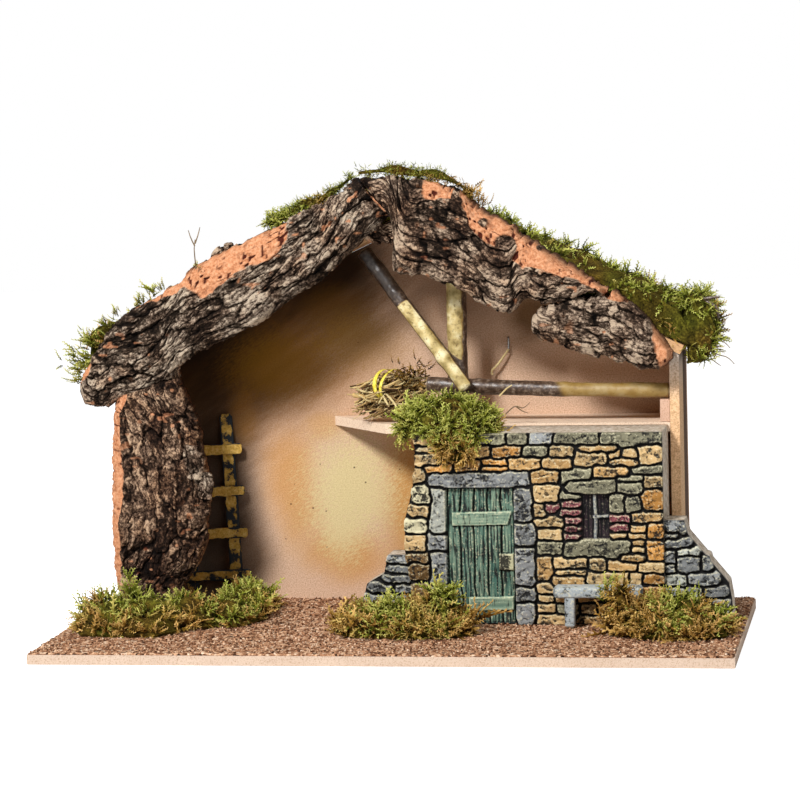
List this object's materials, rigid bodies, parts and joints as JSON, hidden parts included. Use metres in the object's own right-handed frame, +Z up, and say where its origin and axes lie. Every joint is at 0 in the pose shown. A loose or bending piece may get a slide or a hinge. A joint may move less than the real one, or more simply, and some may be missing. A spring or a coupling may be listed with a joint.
{
  "type": "nativity stable",
  "caption": "Gabled stable of fibreboard on a base board, with a cast stone front, cork bark trim, hay loft, ladder and moss, to stand small figures in.",
  "frame": {"origin": "middle of the base board's underside", "axes": "+X to the viewer's right along the base board's long side, +Y to the back panel, +Z up"},
  "size_m": [0.5, 0.24, 0.3438],
  "materials": {
    "fibreboard": "raw, matt",
    "sprayed_board": "matt, sprayed with ochre and pale yellow",
    "painted_board": "dark brown matt paint outside",
    "cork_granules": "loose grains, matt",
    "cast_stone": "hand painted ochre, grey and black, matt",
    "cork_bark": "rough fissured bark, orange where it is broken",
    "peeled_stick": "brown bark, pale yellow where peeled",
    "ladder_wood": "ochre paint, worn, with dark blue-black edges",
    "moss": "dry moss, green to brown",
    "straw": "dry straw",
    "raffia": "yellow raffia, satin",
    "wire": "bare wire"
  },
  "bodies": {
    "root": {"base_board": "fibreboard", "ground_granules": "cork_granules", "back_panel": "sprayed_board", "left_side_wall": "painted_board", "right_side_wall": "painted_board", "roof_board_left": "fibreboard", "roof_board_right": "fibreboard", "loft_board": "fibreboard", "beam_block": "fibreboard", "cross_beam": "peeled_stick", "upright_post": "peeled_stick", "diagonal_brace": "peeled_stick", "stone_facade": "cast_stone", "bark_slab_left": "cork_bark", "bark_slab_right_upper": "cork_bark", "bark_slab_right_lower": "cork_bark", "bark_pillar": "cork_bark", "ladder_rail_left": "ladder_wood", "ladder_rail_right": "ladder_wood", "ladder_rung_1": "ladder_wood", "ladder_rung_2": "ladder_wood", "ladder_rung_3": "ladder_wood", "ladder_rung_4": "ladder_wood", "straw_bundle": "straw", "raffia_band": "raffia", "wall_staple": "wire", "moss_roof_left": "moss", "moss_roof_right": "moss", "moss_crest_left": "moss", "moss_crest_right": "moss", "moss_loft": "moss", "moss_ground_left": "moss", "moss_ground_middle": "moss", "moss_ground_right": "moss"}
  },
  "joints": []
}
